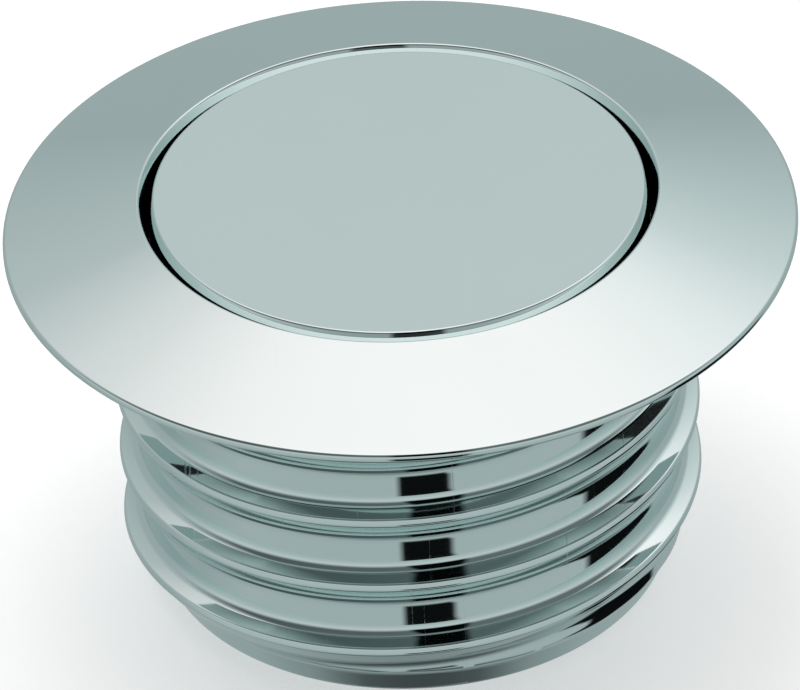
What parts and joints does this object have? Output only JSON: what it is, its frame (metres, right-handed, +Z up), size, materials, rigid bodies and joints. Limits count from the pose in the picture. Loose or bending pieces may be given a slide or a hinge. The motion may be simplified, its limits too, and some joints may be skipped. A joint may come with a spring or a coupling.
{
  "type": "screw-in filler cap with pop-up button",
  "caption": "Round chrome filler cap: a threaded plug under a wide conical flange, with a flush centre button that pops up to be gripped.",
  "frame": {"origin": "centre of the flat bottom face of the threaded barrel, which the cap stands on", "axes": "+Z up along the thread axis towards the button, -Y towards the viewer of the picture"},
  "size_m": [0.07, 0.07, 0.038],
  "materials": {
    "chrome_plate": "polished chrome plate, mirror bright",
    "stainless": "turned stainless steel",
    "spring_steel": "drawn spring steel",
    "bronze": "sintered bronze",
    "brass": "turned brass",
    "black_rubber": "moulded nitrile rubber"
  },
  "bodies": {
    "cap": {"cap_body": "chrome_plate", "flange_gasket": "black_rubber", "stem_bush": "bronze", "guide_bush_1": "bronze", "guide_bush_2": "bronze", "guide_bush_3": "bronze", "latch_wire": "spring_steel", "wire_clamp": "stainless", "wire_clamp_screw": "stainless", "return_spring": "spring_steel", "bottom_plate": "stainless", "bottom_plate_seal": "black_rubber", "bottom_plate_screw_1": "stainless", "bottom_plate_screw_2": "stainless", "bottom_plate_screw_3": "stainless", "vent_body": "brass", "vent_nut": "brass", "vent_spring": "spring_steel"},
    "plunger": {"button": "chrome_plate", "button_wiper": "black_rubber", "latch_stem": "stainless", "heart_cam": "stainless", "stem_clip": "spring_steel", "guide_pin_1": "stainless", "guide_pin_2": "stainless", "guide_pin_3": "stainless"},
    "vent_valve": {"vent_poppet": "brass", "vent_poppet_seal": "black_rubber", "vent_poppet_keeper": "spring_steel"}
  },
  "joints": [
    {"name": "button_pop", "type": "slide", "parent": "cap", "child": "plunger", "axis": [0, 0, 1], "range_m": [-0.0015, 0.011], "deforming": ["return_spring", "latch_wire"]},
    {"name": "vent_lift", "type": "slide", "parent": "cap", "child": "vent_valve", "axis": [0, 0, -1], "range_m": [0, 0.0006], "stiffness_N_per_m": 100, "deforming": ["vent_spring"]}
  ]
}
